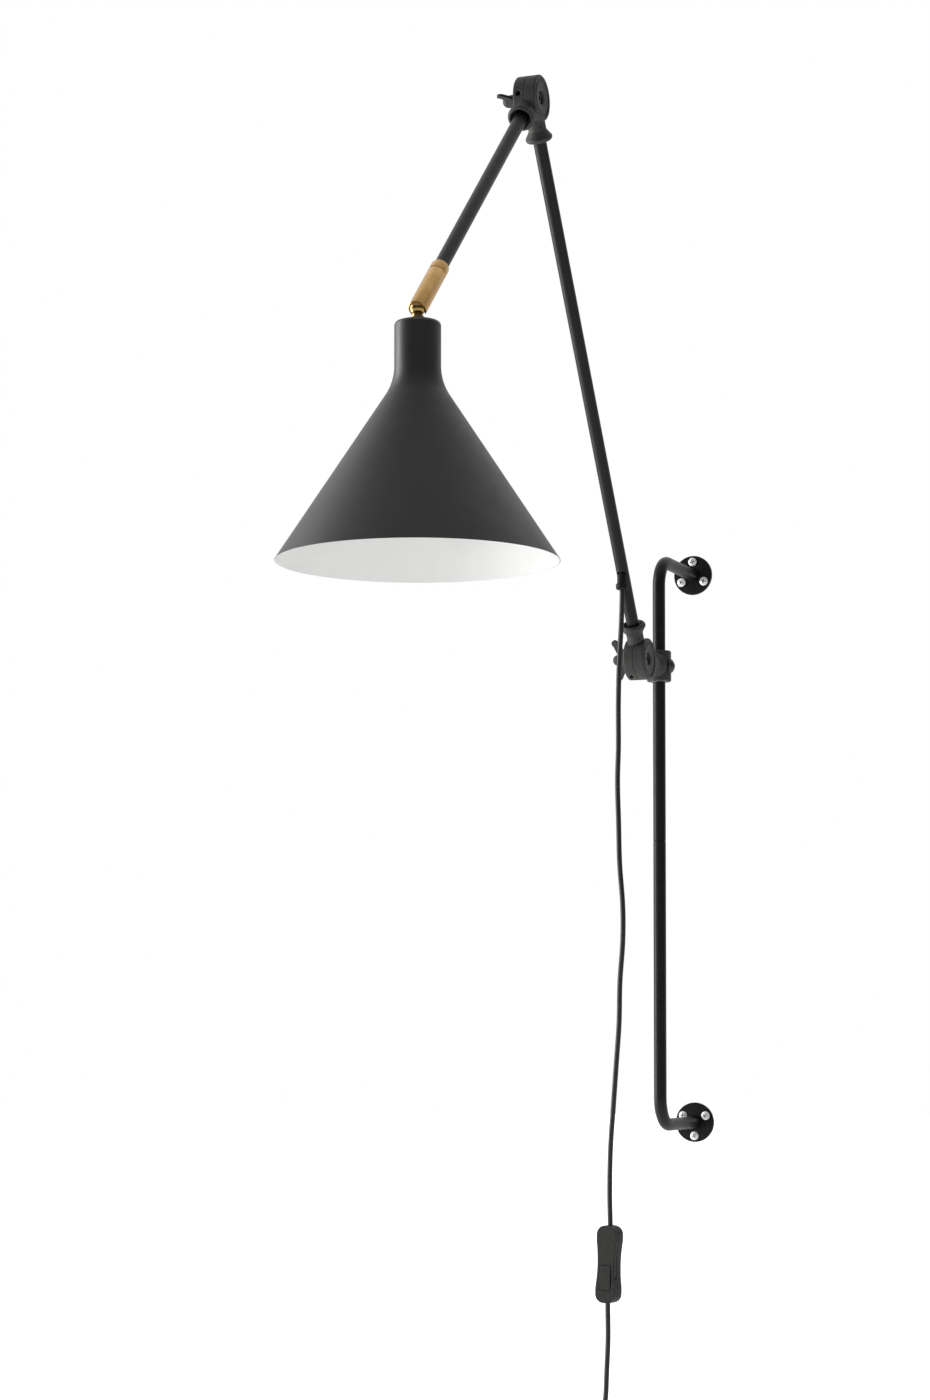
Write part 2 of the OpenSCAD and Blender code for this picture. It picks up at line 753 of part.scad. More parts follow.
module holder_contacts() {
    color([0.8, 0.68, 0.4]) below_ball() {
        rod(3, holder_top + 27, holder_top + 29);
        translate([0, 0, holder_top + 27]) tube(insert_r, insert_r - 0.3, 0, 24);
    }
}
// Screw cap with rolled threads
module bulb_cap() {
    thread_pitch = 3.6;
    threads = 5;
    root_r = 12.1;
    color("silver") below_ball() {
        rod(root_r, holder_top + 33, bulb_top);
        cone(4, root_r, holder_top + 29.2, holder_top + 33);
        for (k = [0 : threads - 1])
            translate([0, 0, holder_top + 36 + k * thread_pitch]) {
                cone(root_r, root_r + 0.7, 0, thread_pitch / 3);
                cone(root_r + 0.7, root_r, thread_pitch / 3, 2 * thread_pitch / 3);
            }
    }
}
// Globe and tapered neck of the bulb, inset by d
module bulb_shape(d) {
    neck = 11.5;
    globe_z = bulb_top + bulb_len - bulb_d / 2;
    shoulder_z = globe_z - 0.2 * bulb_d / 2;
    shoulder = sqrt(pow(bulb_d / 2, 2) - pow(globe_z - shoulder_z, 2));
    translate([0, 0, globe_z]) sphere(r = bulb_d / 2 - d);
    cone(neck - d, shoulder - d, bulb_top, shoulder_z);
}
module bulb_glass() {
    color([0.97, 0.96, 0.92]) below_ball() difference() {
        bulb_shape(0);
        bulb_shape(0.8);
        rod(bulb_d, 0, bulb_top);
        rod(10.7, bulb_top - 1, bulb_top + 2);
    }
}

// ---- Cord, switch and plug ----
module cord_drop() color([0.05, 0.05, 0.05]) sweep(smooth(drop_route, 3), cord_r, 10, [0, 1, 0]);
module cord_tail() color([0.05, 0.05, 0.05]) sweep(smooth(tail_route, 2), cord_r, 10, [0, 1, 0]);
module cord_lead() color([0.05, 0.05, 0.05]) sweep(lead_route, cord_r, 10, [0, 1, 0]);
module cord_coil() {
    color([0.06, 0.06, 0.06]) translate([coil_x, cord_y, coil_z]) rotate([90, 0, 0]) rotate_extrude()
        translate([coil_d / 2 - coil_band, -coil_half]) square([2 * coil_band, 2 * coil_half]);
}
module coil_tie() {
    strap = 1;
    inner = [2 * coil_band + 0.6, 2 * coil_half + 0.6, 9];
    color([0.15, 0.15, 0.15]) translate([coil_x, cord_y, coil_z])
        rotate([0, -150, 0]) translate([-coil_d / 2, 0, 0]) difference() {
            cube([inner[0] + 2 * strap, inner[1] + 2 * strap, inner[2]], center = true);
            cube([inner[0], inner[1], inner[2] + 1], center = true);
        }
}
// Waisted outline with round ends, inset by d, between two depths
module switch_block(d, y0, y1) {
    corner = 9 - d;
    half_w = switch_w / 2 - d;
    half_l = switch_len / 2 - d;
    waist = 1.8;
    waist_r = 140;
    difference() {
        translate([0, y1, 0]) rotate([90, 0, 0]) linear_extrude(y1 - y0) union() {
            square([2 * half_w, 2 * (half_l - corner)], center = true);
            square([2 * (half_w - corner), 2 * half_l], center = true);
            for (x = [-1, 1], z = [-1, 1])
                translate([x * (half_w - corner), z * (half_l - corner)]) circle(r = corner);
        }
        for (x = [-1, 1])
            translate([x * (switch_w / 2 + waist_r - waist), y1 + 1, 0]) rotate([90, 0, 0])
                rod(waist_r + d, 0, y1 - y0 + 2, $fn = 360);
    }
}
module cord_way() rod(cord_r + 0.3, -switch_len, switch_len);
module switch_corners() {
    for (end = [-1, 1])
        translate([end * switch_screw_x, 0, end * switch_screw_z]) rotate([-90, 0, 0]) children();
}
module switch_front_shell() {
    y0 = -switch_depth / 2;
    y1 = y0 + front_depth;
    color([0.15, 0.15, 0.14]) at_switch() difference() {
        union() {
            difference() {
                switch_block(0, y0, y1);
                switch_block(switch_wall, y0 + switch_wall, y1 + 1);
                translate([-rocker_w / 2 - rocker_gap, y0 - 1, rocker_z - rocker_len / 2 - rocker_gap])
                    cube([rocker_w + 2 * rocker_gap, switch_depth, rocker_len + 2 * rocker_gap]);
            }
            for (x = [-1, 1])
                translate([x * (rocker_w / 2 + 1.2) - 0.8, y0 + 0.8, rocker_z - 3])
                    cube([1.6, front_depth - 0.8, 6]);
        }
        translate([0, rocker_y, rocker_z]) rotate([0, 90, 0]) rod(1 + run, -rocker_w, rocker_w);
        cord_way();
    }
}
module switch_back_shell() {
    y0 = -switch_depth / 2 + front_depth + seam;
    y1 = switch_depth / 2;
    color([0.15, 0.15, 0.14]) at_switch() difference() {
        union() {
            difference() {
                switch_block(0, y0, y1);
                switch_block(switch_wall, y0 - 1, y1 - switch_wall);
            }
            switch_posts(y0, y1);
        }
        cord_way();
        switch_corners() {
            rod(1.5, -switch_depth, switch_depth);
            rod(2.6, switch_depth / 2 - 1.5, switch_depth);
        }
    }
}
// Screw posts that stand up from the back shell to the front
module switch_posts(y0, y1) switch_corners() rod(3, y0 - seam, y1 - 0.5);
module switch_screws() {
    color("silver") at_switch() switch_corners() {
        rod(1.49, -switch_depth / 2 + switch_wall, switch_depth / 2 - 1);
        rod(2.5, switch_depth / 2 - 1.5, switch_depth / 2 - 0.3);
    }
}
module switch_contacts() {
    blade = [3.2, 0.8, 16];
    floor_y = switch_depth / 2 - switch_wall - blade[1] - 0.1;
    color([0.8, 0.68, 0.4]) at_switch() for (x = [-1, 1], z = [-1, 1])
        translate([x * 5.2 - blade[0] / 2, floor_y, z * 14 - blade[2] / 2 - 4]) cube(blade);
}
module switch_rocker() {
    proud = 0.8;
    bow_r = 110;
    color([0.17, 0.17, 0.16]) at_switch() translate([0, rocker_y, rocker_z]) union() {
        intersection() {
            translate([-rocker_w / 2, -2.6 - proud, -rocker_len / 2]) cube([rocker_w, 3.8, rocker_len]);
            translate([0, bow_r - 2.6 - proud, 0]) rotate([0, 90, 0])
                rod(bow_r, -rocker_w, rocker_w, $fn = 360);
        }
        rotate([0, 90, 0]) rod(1, -rocker_w / 2 - 1.6, rocker_w / 2 + 1.6);
    }
}
module at_plug() translate([plug_x, cord_y + 5, plug_top]) rotate([180, 0, 0]) children();
module plug_body() {
    corner = plug_t / 2;
    color([0.08, 0.08, 0.08]) at_plug() difference() {
        union() {
            cone(cord_r + 0.8, cord_r + 3.4, 0, plug_neck);
            translate([0, 0, plug_neck - 1]) linear_extrude(plug_len - plug_neck + 1) union() {
                square([plug_w - plug_t, plug_t], center = true);
                for (x = [-1, 1])
                    translate([x * (plug_w / 2 - corner), 0]) circle(r = corner);
            }
        }
        for (x = [-1, 1])
            translate([x * pin_pitch / 2, 0, 0]) rod(1.7 + run, plug_len - 6, plug_len + 1);
    }
}
module plug_pins() {
    color("silver") at_plug() for (x = [-1, 1])
        translate([x * pin_pitch / 2, 0, 0]) {
            rod(1.7, plug_len - 6, plug_len + 1);
            rod(pin_r, plug_len + 0.1, plug_len + pin_len - 1.2);
            cone(pin_r, pin_r - 1, plug_len + pin_len - 1.2, plug_len + pin_len);
        }
}

upper_wall_flange();
lower_wall_flange();
upper_rail_tube();
lower_rail_tube();
rail_joiner();
upper_wall_screws();
lower_wall_screws();
rail_liner();
rail_collar();
collar_stud();
clamp_screw();
base_knuckle();
base_pivot_bolt();
base_friction_washer();
base_nut_washer();
base_wing_nut();
lower_arm_socket();
lower_arm_tube();
lower_grub_screws();
cord_grommet();
lower_arm_flex();
lower_elbow_half();
elbow_pivot_bolt();
elbow_friction_washer();
elbow_nut_washer();
elbow_wing_nut();
upper_elbow_half();
upper_arm_tube();
upper_grub_screw();
upper_arm_flex();
swivel_ring();
swivel_circlip();
swivel_cup();
seat_spring();
ball_seat();
swivel_ball();
shade();
shade_nipple();
stem_washer();
top_nut();
inner_nut();
holder_cap();
holder_skirt();
holder_insert();
holder_contacts();
bulb_cap();
bulb_glass();
cord_drop();
cord_tail();
cord_coil();
cord_lead();
coil_tie();
switch_front_shell();
switch_back_shell();
switch_screws();
switch_contacts();
switch_rocker();
plug_body();
plug_pins();
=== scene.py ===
"""The looks of the swing arm wall sconce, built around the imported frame.

Metres, in the frame of the CAD: the wall plane is Y = 0, the lamp is towards -Y, +X is right and +Z is up.
"""

import json
import math

import bmesh
import bpy
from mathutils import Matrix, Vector


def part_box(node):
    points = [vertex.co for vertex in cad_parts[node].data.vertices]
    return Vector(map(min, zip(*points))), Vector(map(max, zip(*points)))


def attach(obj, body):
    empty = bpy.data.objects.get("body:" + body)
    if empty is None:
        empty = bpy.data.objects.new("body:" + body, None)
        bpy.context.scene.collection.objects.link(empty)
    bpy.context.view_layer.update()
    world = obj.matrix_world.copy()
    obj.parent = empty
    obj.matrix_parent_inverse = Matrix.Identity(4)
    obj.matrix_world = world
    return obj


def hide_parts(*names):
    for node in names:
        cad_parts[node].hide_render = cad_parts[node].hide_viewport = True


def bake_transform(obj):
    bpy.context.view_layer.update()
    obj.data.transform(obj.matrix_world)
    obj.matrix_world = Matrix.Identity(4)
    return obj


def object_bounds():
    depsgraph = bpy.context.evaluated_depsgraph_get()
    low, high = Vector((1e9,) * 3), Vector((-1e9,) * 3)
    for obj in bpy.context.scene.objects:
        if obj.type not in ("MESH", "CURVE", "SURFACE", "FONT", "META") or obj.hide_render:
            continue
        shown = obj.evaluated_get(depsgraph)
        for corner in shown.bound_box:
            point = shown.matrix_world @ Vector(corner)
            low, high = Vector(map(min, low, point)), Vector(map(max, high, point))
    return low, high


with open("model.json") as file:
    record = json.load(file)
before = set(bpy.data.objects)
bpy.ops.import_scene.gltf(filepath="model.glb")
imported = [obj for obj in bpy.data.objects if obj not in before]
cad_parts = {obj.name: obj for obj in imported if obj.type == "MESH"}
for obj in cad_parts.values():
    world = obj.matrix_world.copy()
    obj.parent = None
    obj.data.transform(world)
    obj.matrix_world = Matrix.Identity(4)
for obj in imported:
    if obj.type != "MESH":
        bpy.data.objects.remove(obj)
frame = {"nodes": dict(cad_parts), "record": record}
NODES = frame["nodes"]
RECORD = frame["record"]
BODY_OF = {node: body for body, nodes in RECORD["behaviour"]["bodies"].items() for node in nodes}
SLOT_OF = {part["node"]: part["material_slot"] for part in RECORD["subparts"]}
CAD_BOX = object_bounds()
MM = 0.001

# ---- Places of the joints ----
JOINTS = {joint["name"]: joint for joint in RECORD["behaviour"]["joints"]}
BALL = Vector(JOINTS["shade_tilt"]["pos_m"])
ARM_END = Vector(JOINTS["swivel_turn"]["axis"])
ARM_TILT = math.atan2(-ARM_END.y, -ARM_END.z)

# ---- Camera ----
CAMERA_AT = (0.9392, -2.9692, -0.4807)
CAMERA_TURN = 21.967
CAMERA_PITCH = 2.5
CAMERA_LENS = 76.549
CAMERA_SHIFT_Y = 0.146

camera = bpy.data.objects.new("camera", bpy.data.cameras.new("camera"))
bpy.context.scene.collection.objects.link(camera)
camera.location = CAMERA_AT
camera.rotation_euler = (math.radians(90 + CAMERA_PITCH), 0, math.radians(CAMERA_TURN))
camera.data.lens = CAMERA_LENS
camera.data.sensor_width = 36
camera.data.shift_y = CAMERA_SHIFT_Y
camera.data.clip_start = 0.05
camera.data.clip_end = 60
bpy.context.scene.camera = camera


# ---- Meshes ----
SOFTENING = 0.6
BEVEL_SEGMENTS = 3
BEVEL_ANGLE = 35
WELD = 1e-6


def new_object(name, mesh):
    obj = bpy.data.objects.new(name, mesh)
    bpy.context.scene.collection.objects.link(obj)
    return obj


def from_lists(name, points, faces, smooth=True):
    mesh = bpy.data.meshes.new(name)
    mesh.from_pydata([tuple(p) for p in points], [], faces)
    mesh.validate()
    mesh.update()
    if smooth:
        mesh.shade_smooth()
    return new_object(name, mesh)


def axes_for(direction):
    """Three unit vectors, the last of them the direction."""
    w = Vector(direction).normalized()
    u = w.orthogonal().normalized()
    return u, w.cross(u), w


def spun(name, profile, origin, direction, sides=96, closed=False):
    """A body of revolution; profile is a list of (radius, height along direction) in millimetres."""
    u, v, w = axes_for(direction)
    points, faces, rings = [], [], []
    for r, h in profile:
        at = Vector(origin) + w * (h * MM)
        if r == 0:
            rings.append([len(points)])
            points.append(at)
            continue
        rings.append(list(range(len(points), len(points) + sides)))
        for k in range(sides):
            turn = 2 * math.pi * k / sides
            points.append(at + (u * math.cos(turn) + v * math.sin(turn)) * (r * MM))
    pairs = list(zip(rings, rings[1:])) + ([(rings[-1], rings[0])] if closed else [])
    for a, b in pairs:
        for k in range(sides):
            n = (k + 1) % sides
            if len(a) == 1 and len(b) > 1:
                faces.append((a[0], b[n], b[k]))
            elif len(b) == 1 and len(a) > 1:
                faces.append((a[k], a[n], b[0]))
            elif len(a) > 1:
                faces.append((a[k], a[n], b[n], b[k]))
    obj = from_lists(name, points, faces)
    face_outwards(obj)
    return obj


def face_outwards(obj):
    bm = bmesh.new()
    bm.from_mesh(obj.data)
    bmesh.ops.recalc_face_normals(bm, faces=bm.faces)
    bm.to_mesh(obj.data)
    bm.free()


def spline(points, steps):
    """Points on a smooth line through all of the points given."""
    p = [Vector(q) for q in points]
    out = []
    for i in range(len(p) - 1):
        a, b, c, d = p[max(i - 1, 0)], p[i], p[i + 1], p[min(i + 2, len(p) - 1)]
        for k in range(steps):
            t = k / steps
            slope = (c - a) * t
            square = (2 * a - 5 * b + 4 * c - d) * t * t
            cube = (3 * b - a - 3 * c + d) * t**3
            out.append(0.5 * (2 * b + slope + square + cube))
    return out + [p[-1]]


def swept(name, line, radius, sides=16, radii=None):
    """A round tube along a line of points, with closed ends."""
    line = [Vector(p) for p in line]
    last = len(line) - 1
    tangents = [(line[min(i + 1, last)] - line[max(i - 1, 0)]).normalized() for i in range(len(line))]
    u = tangents[0].orthogonal().normalized()
    points, faces = [], []
    for i, (p, t) in enumerate(zip(line, tangents)):
        u = (u - t * u.dot(t)).normalized()
        v = t.cross(u)
        r = radius if radii is None else radii[i]
        for k in range(sides):
            turn = 2 * math.pi * k / sides
            points.append(p + (u * math.cos(turn) + v * math.sin(turn)) * r)
    for i in range(last):
        for k in range(sides):
            n = (k + 1) % sides
            faces.append((i * sides + k, i * sides + n, (i + 1) * sides + n, (i + 1) * sides + k))
    faces.append(tuple(reversed(range(sides))))
    faces.append(tuple(range(last * sides, last * sides + sides)))
    obj = from_lists(name, points, faces)
    face_outwards(obj)
    return obj


def applied(obj):
    """The object with its modifiers made part of its mesh."""
    graph = bpy.context.evaluated_depsgraph_get()
    mesh = bpy.data.meshes.new_from_object(obj.evaluated_get(graph))
    old = obj.data
    obj.modifiers.clear()
    obj.data = mesh
    bpy.data.meshes.remove(old)
    return obj


def node_copy(name, node):
    """A new object with the welded mesh of a CAD node."""
    bm = bmesh.new()
    bm.from_mesh(NODES[node].data)
    bmesh.ops.remove_doubles(bm, verts=bm.verts, dist=WELD)
    mesh = bpy.data.meshes.new(name)
    bm.to_mesh(mesh)
    bm.free()
    return new_object(name, mesh)


def casting(name, node, voxel, rounds, keep):
    """The CAD node with soft edges: voxel size in millimetres, rounds of smoothing, share of faces kept."""
    obj = node_copy(name, node)
    remesh = obj.modifiers.new("remesh", "REMESH")
    remesh.mode = "VOXEL"
    remesh.voxel_size = voxel * MM
    soften = obj.modifiers.new("soften", "SMOOTH")
    soften.factor = SOFTENING
    soften.iterations = rounds
    thin = obj.modifiers.new("thin", "DECIMATE")
    thin.ratio = keep
    applied(obj)
    obj.data.shade_smooth()
    return obj


def boolean_cut(obj, cutter):
    """Takes the cutter's shape out of the object."""
    cut = obj.modifiers.new("cut", "BOOLEAN")
    cut.operation = "DIFFERENCE"
    cut.solver = "EXACT"
    cut.object = cutter
    applied(obj)
    bpy.data.objects.remove(cutter)
    return obj


def joined(name, objects):
    """One object with the meshes of these objects, which are removed."""
    bm = bmesh.new()
    for obj in objects:
        bm.from_mesh(obj.data)
        bpy.data.objects.remove(obj)
    mesh = bpy.data.meshes.new(name)
    bm.to_mesh(mesh)
    bm.free()
    return new_object(name, mesh)


def bevelled(name, node, width):
    """The CAD node with its sharp edges broken, width in millimetres."""
    obj = node_copy(name, node)
    bevel = obj.modifiers.new("bevel", "BEVEL")
    bevel.width = width * MM
    bevel.segments = BEVEL_SEGMENTS
    bevel.limit_method = "ANGLE"
    bevel.angle_limit = math.radians(BEVEL_ANGLE)
    bevel.use_clamp_overlap = True
    applied(obj)
    smooth_by_angle(obj, 40)
    return obj


def smooth_by_angle(obj, degrees):
    """Smooth shading with sharp edges where the faces meet at more than this angle."""
    obj.data.shade_smooth()
    bm = bmesh.new()
    bm.from_mesh(obj.data)
    limit = math.radians(degrees)
    for edge in bm.edges:
        edge.smooth = len(edge.link_faces) == 2 and edge.calc_face_angle(0) < limit
    bm.to_mesh(obj.data)
    bm.free()


# ---- Materials ----
def shader(name):
    mat = bpy.data.materials.new(name)
    mat.use_nodes = True
    tree = mat.node_tree
    bsdf = next(n for n in tree.nodes if n.type == "BSDF_PRINCIPLED")
    coords = tree.nodes.new("ShaderNodeTexCoord")
    return mat, tree, bsdf, coords.outputs["Object"]


def noise(tree, vector, scale, detail=3.0, roughness=0.5):
    node = tree.nodes.new("ShaderNodeTexNoise")
    node.inputs["Scale"].default_value = scale
    node.inputs["Detail"].default_value = detail
    node.inputs["Roughness"].default_value = roughness
    tree.links.new(vector, node.inputs["Vector"])
    return node.outputs["Fac"]


def stretched(tree, vector, rotation, scale):
    node = tree.nodes.new("ShaderNodeMapping")
    node.inputs["Rotation"].default_value = rotation
    node.inputs["Scale"].default_value = scale
    tree.links.new(vector, node.inputs["Vector"])
    return node.outputs["Vector"]


def mapped(tree, value, low, high, start=0.3, end=0.7):
    node = tree.nodes.new("ShaderNodeMapRange")
    node.inputs["From Min"].default_value = start
    node.inputs["From Max"].default_value = end
    node.inputs["To Min"].default_value = low
    node.inputs["To Max"].default_value = high
    tree.links.new(value, node.inputs["Value"])
    return node.outputs["Result"]


def blended(tree, factor, a, b):
    node = tree.nodes.new("ShaderNodeMix")
    node.data_type = "RGBA"
    node.inputs["A"].default_value = (*a, 1)
    node.inputs["B"].default_value = (*b, 1)
    tree.links.new(factor, node.inputs["Factor"])
    return node.outputs["Result"]


def bumped(tree, height, distance, normal=None):
    node = tree.nodes.new("ShaderNodeBump")
    node.inputs["Distance"].default_value = distance
    tree.links.new(height, node.inputs["Height"])
    if normal is not None:
        tree.links.new(normal, node.inputs["Normal"])
    return node.outputs["Normal"]


def coating(name, dark, light, rough, cloud_scale, grain_scale, grain, metallic=0.0, shine=0.5):
    """A coat or moulded surface: two near tones in clouds, an uneven gloss and a fine grain in relief."""
    mat, tree, bsdf, at = shader(name)
    clouds = noise(tree, at, cloud_scale, 4, 0.6)
    tree.links.new(blended(tree, mapped(tree, clouds, 0, 1), dark, light), bsdf.inputs["Base Color"])
    smear = noise(tree, at, cloud_scale * 2.7, 5, 0.65)
    tree.links.new(mapped(tree, smear, *rough), bsdf.inputs["Roughness"])
    orange = bumped(tree, noise(tree, at, grain_scale * 0.3, 2, 0.5), grain * 2)
    relief = bumped(tree, noise(tree, at, grain_scale, 3, 0.6), grain, normal=orange)
    tree.links.new(relief, bsdf.inputs["Normal"])
    bsdf.inputs["Metallic"].default_value = metallic
    bsdf.inputs["Specular IOR Level"].default_value = shine
    return mat


def turned_metal(name, dark, light, rough, tilt, lines, relief):
    """Turned metal: fine rings round the axis that tilt brings onto Z, over long clouds of tone."""
    mat, tree, bsdf, at = shader(name)
    along = stretched(tree, at, (tilt, 0, 0), (8, 8, 1.0))
    rings = noise(tree, stretched(tree, at, (tilt, 0, 0), (0.02, 0.02, 1.0)), lines, 2, 0.5)
    clouds = noise(tree, along, 18, 4, 0.6)
    tree.links.new(blended(tree, mapped(tree, clouds, 0, 1), dark, light), bsdf.inputs["Base Color"])
    tree.links.new(mapped(tree, rings, *rough), bsdf.inputs["Roughness"])
    tree.links.new(bumped(tree, rings, relief), bsdf.inputs["Normal"])
    bsdf.inputs["Metallic"].default_value = 1.0
    return mat


POWDER = coating(
    "powder_coat", (0.006, 0.006, 0.006), (0.009, 0.0088, 0.0084),
    (0.34, 0.44), 40, 1500, 0.00002, shine=0.25,
)
CAST = coating(
    "cast_coat", (0.026, 0.026, 0.025), (0.045, 0.044, 0.042),
    (0.5, 0.66), 130, 1800, 0.00005, shine=0.4,
)
STEEL = coating("black_steel", (0.02, 0.02, 0.02), (0.035, 0.034, 0.033), (0.3, 0.45), 200, 2600, 0.00001)
SHADE_OUT = coating(
    "shade_black", (0.017, 0.017, 0.017), (0.021, 0.0205, 0.02),
    (0.42, 0.5), 22, 1600, 0.00001,
)
SHADE_IN = coating("shade_white", (0.72, 0.72, 0.71), (0.78, 0.78, 0.77), (0.42, 0.52), 18, 1500, 0.00001)
PLASTIC = coating(
    "black_plastic", (0.009, 0.009, 0.008), (0.015, 0.015, 0.013),
    (0.4, 0.52), 300, 3200, 0.00003, shine=0.3,
)
SHEATH = coating(
    "cord_sheath", (0.012, 0.012, 0.012), (0.02, 0.02, 0.019),
    (0.34, 0.46), 160, 2400, 0.00002,
)
RUBBER = coating(
    "rubber", (0.005, 0.005, 0.005), (0.009, 0.009, 0.009),
    (0.5, 0.62), 260, 2200, 0.00003, shine=0.2,
)
ZINC = coating("zinc", (0.8, 0.8, 0.79), (0.9, 0.9, 0.89), (0.42, 0.56), 500, 4000, 0.000004, metallic=0.35)
NYLON = coating("nylon", (0.74, 0.73, 0.66), (0.82, 0.81, 0.76), (0.4, 0.52), 120, 1500, 0.00002)
FIBRE = coating("fibre", (0.26, 0.14, 0.08), (0.4, 0.23, 0.13), (0.6, 0.75), 400, 3000, 0.00003)
CERAMIC = coating("ceramic", (0.8, 0.8, 0.76), (0.86, 0.86, 0.83), (0.25, 0.4), 90, 1200, 0.00002)
CONTACT = coating(
    "contact_brass", (0.6, 0.44, 0.2), (0.74, 0.57, 0.3),
    (0.25, 0.4), 300, 3000, 0.000006, metallic=1.0,
)
OPAL = coating("opal_glass", (0.88, 0.87, 0.82), (0.92, 0.91, 0.88), (0.12, 0.2), 20, 600, 0.000005)
BRASS = turned_metal(
    "turned_brass", (0.46, 0.27, 0.09), (0.58, 0.36, 0.135),
    (0.24, 0.38), ARM_TILT, 9000, 0.000008,
)
BALL_BRASS = coating(
    "ball_brass", (0.4, 0.24, 0.085), (0.5, 0.32, 0.12),
    (0.16, 0.26), 120, 1500, 0.000004, metallic=1.0,
)

SLOT_MATERIAL = {
    "black_coat": POWDER,
    "cast_black": CAST,
    "black_steel": STEEL,
    "zinc": ZINC,
    "nylon": NYLON,
    "fibre": FIBRE,
    "brass": BRASS,
    "shade_coat": SHADE_OUT,
    "black_plastic": PLASTIC,
    "black_rubber": RUBBER,
    "ceramic": CERAMIC,
    "contact_brass": CONTACT,
    "opal_glass": OPAL,
}


def paint(obj, *materials):
    obj.data.materials.clear()
    for m in materials:
        obj.data.materials.append(m)
    return obj


def finished(obj, body, slot, *replaced):
    """Puts a painted piece on its body and lets it stand for its CAD nodes."""
    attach(obj, body)
    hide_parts(*replaced)


def stands_for(obj, node):
    """Puts a new piece in the place of one CAD node, with that node's body and the finish of its slot."""
    slot = SLOT_OF[node]
    paint(obj, SLOT_MATERIAL[slot])
    finished(obj, BODY_OF[node], slot, node)


# ---- Cord, in millimetres: from the outlet to the switch, then to the coil and the plug ----
CORD_D = 5.0
CORD_Y = -231.0
DROP_ROUTE = [
    (0, -230.8, -46.5), (0, -231, -60), (-1, -231, -85), (-3, -231, -120), (-4, -231, -160),
    (-4, -231, -200), (-5, -231, -235), (-4, -231, -275), (-3, -231, -315), (0, -231, -355),
    (0, -231, -390), (-3, -231, -430), (-4, -231, -470), (-7, -231, -510), (-10, -231, -550),
    (-13, -231, -590), (-14, -231, -630), (-13.5, -231, -662), (-13.4, -231, -668),
]
TAIL_ROUTE = [
    (-16, -231, -738), (-16.2, -231, -746), (-16, -231, -775), (-17, -232, -805), (-18, -233, -832),
    (-20.5, -235, -850), (-26, -236, -866), (-33.8, -236, -876.8),
]
LEAD_ROUTE = [
    (-48.5, -226, -894.5), (-52.5, -226, -904), (-53.5, -226, -916), (-51, -226, -930), (-46.5, -226, -941),
]
COIL_CENTRE = (-18.0, CORD_Y, -905.0)
# Radius and depth of each place of the cord in the coil, and the degrees at which it moves to the next one
COIL_PLACES = [(30, -5), (25, -5), (25, 0), (30, 0), (30, 5)]
COIL_START = 141.0
COIL_TURNS = 4
COIL_STEPS = 40
FIRST_CHANGE = 250.0
CHANGE_EVERY = 240.0
CHANGE_LASTS = 110.0
PLUG_AT = (-45.5, -226.0, -946.0)


def metres(points):
    return [Vector(p) * MM for p in points]


def coil_place(turned):
    """Radius and depth of the cord in the coil after so many degrees."""
    k = int((turned - FIRST_CHANGE) // CHANGE_EVERY)
    if k < 0:
        return COIL_PLACES[0]
    if k > len(COIL_PLACES) - 2:
        return COIL_PLACES[-1]
    t = min((turned - FIRST_CHANGE - k * CHANGE_EVERY) / CHANGE_LASTS, 1)
    t = t * t * (3 - 2 * t)
    (r0, y0), (r1, y1) = COIL_PLACES[k : k + 2]
    return r0 + (r1 - r0) * t, y0 + (y1 - y0) * t


def coil_line():
    """Four turns in two layers, entered and left on the upper left."""
    points = []
    for i in range(COIL_TURNS * COIL_STEPS + 1):
        turned = 360 * i / COIL_STEPS
        r, y = coil_place(turned)
        turn = math.radians(COIL_START + turned)
        x, z = r * math.cos(turn), r * math.sin(turn)
        points.append((COIL_CENTRE[0] + x, COIL_CENTRE[1] + y, COIL_CENTRE[2] + z))
    return points


drop_line = spline(metres(DROP_ROUTE), 8)
coil_points = coil_line()
lead = spline(metres([coil_points[-1]] + LEAD_ROUTE + [PLUG_AT]), 6)[1:]
tail_line = spline(metres(TAIL_ROUTE), 8)[:-1] + metres(coil_points) + lead

drop = swept("cord_to_switch", drop_line, CORD_D / 2 * MM)
paint(drop, SHEATH)
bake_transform(drop)
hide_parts("cord_drop")

tail = swept("cord_to_plug", tail_line, CORD_D / 2 * MM)
paint(tail, SHEATH)
finished(tail, "collar", "black_rubber", "cord_tail", "cord_coil", "cord_lead")

# ---- Finishes of the CAD nodes ----
for node_object in NODES.values():
    paint(node_object, SLOT_MATERIAL[node_object.data.materials[0].name])

NODES["swivel_ball"].data.materials[0] = BALL_BRASS
for node in ("lower_grub_screws", "upper_grub_screw"):
    NODES[node].data.materials[0] = STEEL

# ---- Castings: both knuckles and the wing nuts ----
for node in ("base_knuckle", "lower_arm_socket", "lower_elbow_half", "upper_elbow_half"):
    stands_for(casting("cast_" + node, node, voxel=0.3, rounds=3, keep=0.3), node)
for node in ("base_wing_nut", "elbow_wing_nut"):
    stands_for(casting("cast_" + node, node, voxel=0.25, rounds=5, keep=0.45), node)

# ---- Mouldings: the switch, the plug and the tie ----
for node in ("switch_front_shell", "switch_back_shell", "switch_rocker", "plug_body", "coil_tie"):
    stands_for(casting("soft_" + node, node, voxel=0.3, rounds=6, keep=0.35), node)

